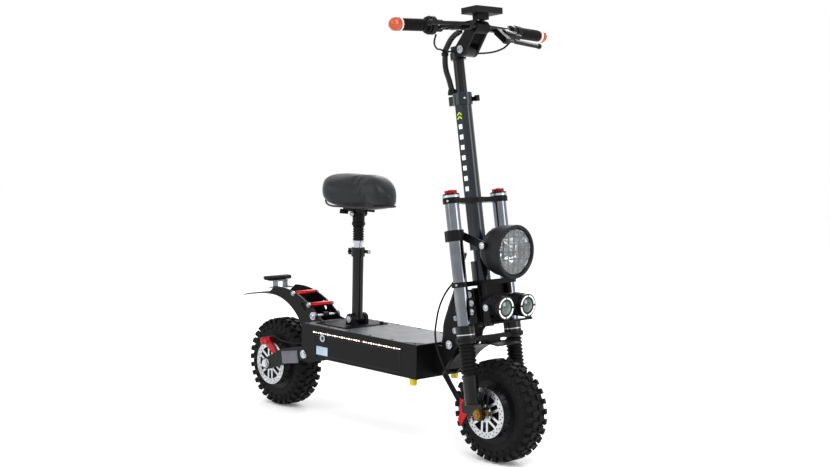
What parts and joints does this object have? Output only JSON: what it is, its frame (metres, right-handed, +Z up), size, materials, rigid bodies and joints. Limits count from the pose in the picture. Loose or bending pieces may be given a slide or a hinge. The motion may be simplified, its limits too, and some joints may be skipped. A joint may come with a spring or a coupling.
{
  "type": "electric scooter with seat",
  "caption": "Seated off-road electric scooter with hub motors, a dual-crown sprung fork, a sprung rear arm, disc brakes, lamps, and a folding neck.",
  "frame": {"origin": "on the ground, in the middle of the scooter's length and width", "axes": "+X forward, +Y to the rider's left, +Z up"},
  "size_m": [1.2646, 0.6152, 1.2455],
  "materials": {
    "black_paint": "satin black powder coat",
    "stem_paint": "gloss blue-black paint",
    "deck_grip": "fine textured grip sheet",
    "battery_shell": "shrink-wrapped pack and potted controllers",
    "yellow_rubber": "moulded rubber",
    "zinc_steel": "zinc plated",
    "brass": "turned brass plating",
    "polished_tube": "polished hard chrome",
    "red_alloy": "red anodised",
    "dark_alloy": "black anodised",
    "disc_steel": "ground stainless steel",
    "tyre_rubber": "moulded off-road tyre",
    "black_rubber": "matt black rubber",
    "black_plastic": "moulded black plastic",
    "button_plastic": "moulded button",
    "amber_plastic": "faceted amber lens",
    "red_lens": "red lens on a black body",
    "lamp_glass": "clear lamp glass",
    "saddle_leather": "smooth charcoal synthetic leather"
  },
  "bodies": {
    "chassis": {"deck_shell": "black_paint", "deck_lid": "deck_grip", "deck_electronics": "battery_shell", "deck_feet": "yellow_rubber", "charge_port": "zinc_steel", "seat_plate": "black_paint", "rear_brackets": "black_paint", "rear_fender": "black_plastic", "tail_light": "red_lens", "frame_bolts": "zinc_steel"},
    "neck": {"neck_frame": "black_paint", "head_bearings": "zinc_steel", "neck_harness": "black_rubber"},
    "steer": {"fork_crowns": "black_paint", "fork_tubes": "polished_tube", "fork_collars": "dark_alloy", "fork_bellows": "black_rubber", "stem_tube": "stem_paint", "front_mudguard": "black_plastic", "headlight_bracket": "black_paint", "lamp_bracket": "black_paint", "front_brake_hose": "black_rubber"},
    "fork_slider": {"fork_lowers": "black_paint", "front_axle": "brass", "front_caliper": "red_alloy"},
    "front_wheel": {"front_tyre": "tyre_rubber", "front_hub": "dark_alloy", "front_disc": "disc_steel"},
    "headlight": {"headlight_shell": "black_plastic", "headlight_lens": "lamp_glass"},
    "lamp_pair": {"twin_lamps": "dark_alloy"},
    "stem_post": {"stem_slider": "stem_paint"},
    "stem_cam": {"stem_lever": "dark_alloy"},
    "bar": {"handlebar": "black_paint", "bar_clamp": "black_paint", "display": "black_plastic", "left_grip": "black_rubber", "bar_end_lights": "amber_plastic", "brake_masters": "dark_alloy", "control_pods": "black_plastic", "cable_harness": "black_rubber"},
    "throttle": {"throttle_grip": "black_rubber"},
    "right_lever": {"brake_lever_right": "dark_alloy"},
    "left_lever": {"brake_lever_left": "dark_alloy"},
    "horn": {"horn_button": "button_plastic"},
    "seat_mast": {"seat_tube": "black_paint"},
    "seat_cam": {"seat_lever": "zinc_steel"},
    "seat_column": {"seat_post": "polished_tube", "seat_spring": "black_rubber"},
    "seat": {"saddle": "saddle_leather"},
    "rear_arm": {"swing_arm": "dark_alloy", "rear_axle": "zinc_steel", "rear_caliper": "red_alloy"},
    "rear_wheel": {"rear_tyre": "tyre_rubber", "rear_hub": "dark_alloy", "rear_disc": "disc_steel"},
    "shock_upper": {"shock_body": "dark_alloy", "shock_spring": "red_alloy"},
    "shock_lower": {"shock_rod": "zinc_steel"},
    "stand": {"kickstand": "black_paint"}
  },
  "joints": [
    {"name": "neck_fold", "type": "hinge", "parent": "chassis", "child": "neck", "pos_m": [0.33598, 0, 0.3081], "axis": [0, -1, 0], "range_deg": [0, 22]},
    {"name": "steering", "type": "hinge", "parent": "neck", "child": "steer", "pos_m": [0.47168, 0, 0.13927], "axis": [-0.1736, 0, 0.9848], "range_deg": [-35, 35]},
    {"name": "fork_travel", "type": "slide", "parent": "steer", "child": "fork_slider", "axis": [-0.1736, 0, 0.9848], "range_m": [0, 0.034], "stiffness_N_per_m": 15000, "springref_m": -0.04, "deforming": ["fork_bellows", "front_brake_hose"]},
    {"name": "front_wheel_spin", "type": "hinge", "parent": "fork_slider", "child": "front_wheel", "pos_m": [0.49, 0, 0.1425], "axis": [0, 1, 0], "continuous": true},
    {"name": "headlight_tilt", "type": "hinge", "parent": "steer", "child": "headlight", "pos_m": [0.479, 0, 0.6], "axis": [0, 1, 0], "range_deg": [-12, 12]},
    {"name": "lamp_tilt", "type": "hinge", "parent": "steer", "child": "lamp_pair", "pos_m": [0.505, 0, 0.435], "axis": [0, 1, 0], "range_deg": [-10, 10]},
    {"name": "stem_height", "type": "slide", "parent": "steer", "child": "stem_post", "axis": [-0.1736, 0, 0.9848], "range_m": [-0.085, 0], "deforming": ["cable_harness"]},
    {"name": "stem_clamp", "type": "hinge", "parent": "steer", "child": "stem_cam", "pos_m": [0.28617, 0.026, 0.98693], "axis": [-0.1736, 0, 0.9848], "range_deg": [0, 110]},
    {"name": "bar_tilt", "type": "hinge", "parent": "stem_post", "child": "bar", "pos_m": [0.33398, 0, 1.12997], "axis": [0, 1, 0], "range_deg": [-20, 20]},
    {"name": "throttle_twist", "type": "hinge", "parent": "bar", "child": "throttle", "pos_m": [0.36241, -0.181, 1.18552], "axis": [-0.0958, -0.9949, -0.0314], "range_deg": [0, 50], "stiffness_Nm_per_rad": 0.3, "springref_deg": -28.65},
    {"name": "right_brake", "type": "hinge", "parent": "bar", "child": "right_lever", "pos_m": [0.42235, -0.07883, 1.19239], "axis": [-0.0724, -0.0245, 0.9971], "range_deg": [-10, 0], "stiffness_Nm_per_rad": 3, "springref_deg": 17.19},
    {"name": "left_brake", "type": "hinge", "parent": "bar", "child": "left_lever", "pos_m": [0.41203, 0.07675, 1.15813], "axis": [-0.6105, -0.0836, -0.7876], "range_deg": [-10, 0], "stiffness_Nm_per_rad": 3, "springref_deg": 17.19},
    {"name": "horn_press", "type": "slide", "parent": "bar", "child": "horn", "axis": [0.9954, 0.0958, 0], "range_m": [0, 0.002], "stiffness_N_per_m": 400, "springref_m": -0.002},
    {"name": "seat_fold", "type": "hinge", "parent": "chassis", "child": "seat_mast", "pos_m": [-0.11, 0, 0.3235], "axis": [0, -1, 0], "range_deg": [-50, 0]},
    {"name": "seat_clamp", "type": "hinge", "parent": "seat_mast", "child": "seat_cam", "pos_m": [-0.137, 0.02, 0.5295], "axis": [0, 0, 1], "range_deg": [0, 110]},
    {"name": "seat_height", "type": "slide", "parent": "seat_mast", "child": "seat_column", "axis": [0, 0, 1], "range_m": [0, 0.1]},
    {"name": "saddle_travel", "type": "slide", "parent": "seat_column", "child": "seat", "axis": [0, 0, -1], "range_m": [0, 0.02], "stiffness_N_per_m": 6000, "springref_m": -0.02, "deforming": ["seat_spring"]},
    {"name": "rear_swing", "type": "hinge", "parent": "chassis", "child": "rear_arm", "pos_m": [-0.253, 0, 0.203], "axis": [0, 1, 0], "range_deg": [0, 12], "stiffness_Nm_per_rad": 600, "springref_deg": -14.32},
    {"name": "rear_wheel_spin", "type": "hinge", "parent": "rear_arm", "child": "rear_wheel", "pos_m": [-0.462, 0, 0.1425], "axis": [0, 1, 0], "continuous": true},
    {"name": "shock_swing", "type": "hinge", "parent": "chassis", "child": "shock_upper", "pos_m": [-0.263, 0, 0.317], "axis": [0, 1, 0], "range_deg": [0, 1.5]},
    {"name": "shock_travel", "type": "slide", "parent": "shock_upper", "child": "shock_lower", "axis": [0.2983, 0, 0.9545], "range_m": [0, 0.0098], "deforming": ["shock_spring"]},
    {"name": "kickstand_fold", "type": "hinge", "parent": "chassis", "child": "stand", "pos_m": [0.164, 0.1, 0.1915], "axis": [0, 0.9426, 0.3338], "range_deg": [0, 97]}
  ],
  "couplings": [
    {"joint": "shock_swing", "follows": "rear_swing", "ratio": 0.06373},
    {"joint": "shock_travel", "follows": "rear_swing", "m_per_rad": 0.044386}
  ]
}
